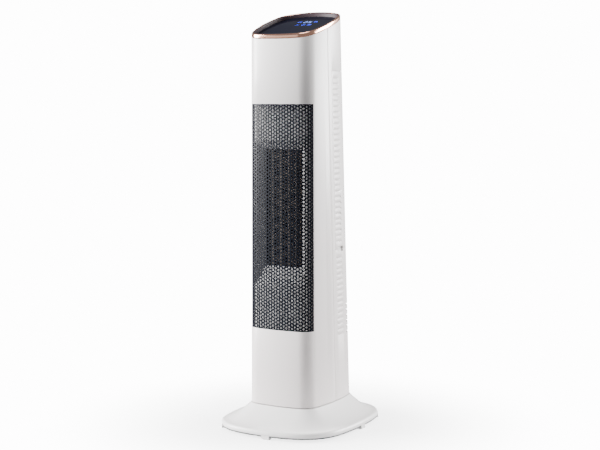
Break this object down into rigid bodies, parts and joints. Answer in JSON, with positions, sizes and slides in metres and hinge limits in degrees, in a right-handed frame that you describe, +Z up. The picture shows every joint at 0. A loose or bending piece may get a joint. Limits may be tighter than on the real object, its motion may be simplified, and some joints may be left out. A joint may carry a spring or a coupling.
{
  "type": "ceramic tower space heater",
  "caption": "Oscillating tower fan heater with ceramic element, perforated front grille, slanted touch panel, swivel base and removable rear intake cover.",
  "frame": {"origin": "centre of the base's footprint, on the floor", "axes": "+Z up, the air outlet faces -Y, +X to the right seen from the front"},
  "size_m": [0.2044, 0.2412, 0.62],
  "materials": {
    "shell_white": "satin moulded plastic",
    "base_white": "satin moulded plastic",
    "plate_grey": "fine texture",
    "trim_rose": "polished rose gold plating",
    "panel_black": "polished, opaque black",
    "tray_dark": "gloss",
    "grille_black": "semi-gloss paint",
    "duct_white": "fine texture",
    "heat_black": "glass-filled plastic",
    "ceramic_dark": "unglazed",
    "fin_aluminium": "bare sheet",
    "steel": "zinc plated",
    "brass": "plain",
    "motor_steel": "pressed can",
    "fan_black": "moulded",
    "board_green": "solder mask",
    "board_parts": "moulded cases",
    "lamp_blue": "lit",
    "gear_nylon": "nylon",
    "rubber_black": "matt",
    "switch_black": "satin",
    "filter_grey": "fine nylon screen"
  },
  "bodies": {
    "base": {"base_plinth": "base_white", "base_plate": "plate_grey", "base_screws": "steel", "thrust_washer": "gear_nylon", "stepper_motor": "motor_steel", "tilt_switch": "switch_black", "foot_front": "base_white", "foot_back": "base_white", "foot_right": "base_white", "foot_left": "base_white", "foot_left_front": "base_white", "foot_right_back": "base_white"},
    "tower": {"tower_floor": "shell_white", "swivel_gear": "gear_nylon", "gear_screws": "steel", "front_shell": "shell_white", "rear_shell": "shell_white", "shell_screws": "steel", "front_grille": "grille_black", "front_duct": "duct_white", "ptc_cap_low": "heat_black", "ptc_cap_high": "heat_black", "ptc_rails": "heat_black", "ptc_bars": "ceramic_dark", "ptc_fins": "fin_aluminium", "ptc_terminals": "brass", "thermal_cutout": "steel", "bulkhead_low": "duct_white", "bulkhead_high": "duct_white", "scroll_wall": "duct_white", "cutoff_wall": "duct_white", "fan_motor": "motor_steel", "upper_bearing": "rubber_black", "trim_ring": "trim_rose", "panel_tray": "tray_dark", "panel_glass": "panel_black", "display_board": "board_green", "display_lamps": "lamp_blue", "power_board": "board_green", "board_parts": "board_parts", "board_standoffs": "duct_white", "switch_housing": "switch_black", "cord_gland": "rubber_black", "filter_frame": "duct_white"},
    "pinion": {"stepper_pinion": "gear_nylon"},
    "plunger": {"tilt_plunger": "gear_nylon"},
    "fan": {"fan_wheel": "fan_black", "fan_shaft": "steel"},
    "rocker": {"switch_rocker": "switch_black"},
    "cover": {"rear_cover": "shell_white", "filter_mesh": "filter_grey"}
  },
  "joints": [
    {"name": "tower_swing", "type": "hinge", "parent": "base", "child": "tower", "pos_m": [0, 0, 0.0395], "axis": [0, 0, 1], "range_deg": [-35, 35]},
    {"name": "pinion_spin", "type": "hinge", "parent": "base", "child": "pinion", "pos_m": [0, 0.048, 0.016], "axis": [0, 0, 1], "range_deg": [-180, 180]},
    {"name": "fan_spin", "type": "hinge", "parent": "tower", "child": "fan", "pos_m": [0, 0.012, 0.333], "axis": [0, 0, 1], "continuous": true},
    {"name": "rocker_tilt", "type": "hinge", "parent": "tower", "child": "rocker", "pos_m": [0, 0.07475, 0.0919], "axis": [1, 0, 0], "range_deg": [0, 20]},
    {"name": "cover_slide", "type": "slide", "parent": "tower", "child": "cover", "axis": [0, 1, 0], "range_m": [0, 0.09]},
    {"name": "plunger_slide", "type": "slide", "parent": "base", "child": "plunger", "axis": [0, 0, -1], "range_m": [0, 0.004], "stiffness_N_per_m": 80, "springref_m": 0.008}
  ],
  "couplings": [
    {"joint": "pinion_spin", "follows": "tower_swing", "ratio": -5}
  ]
}
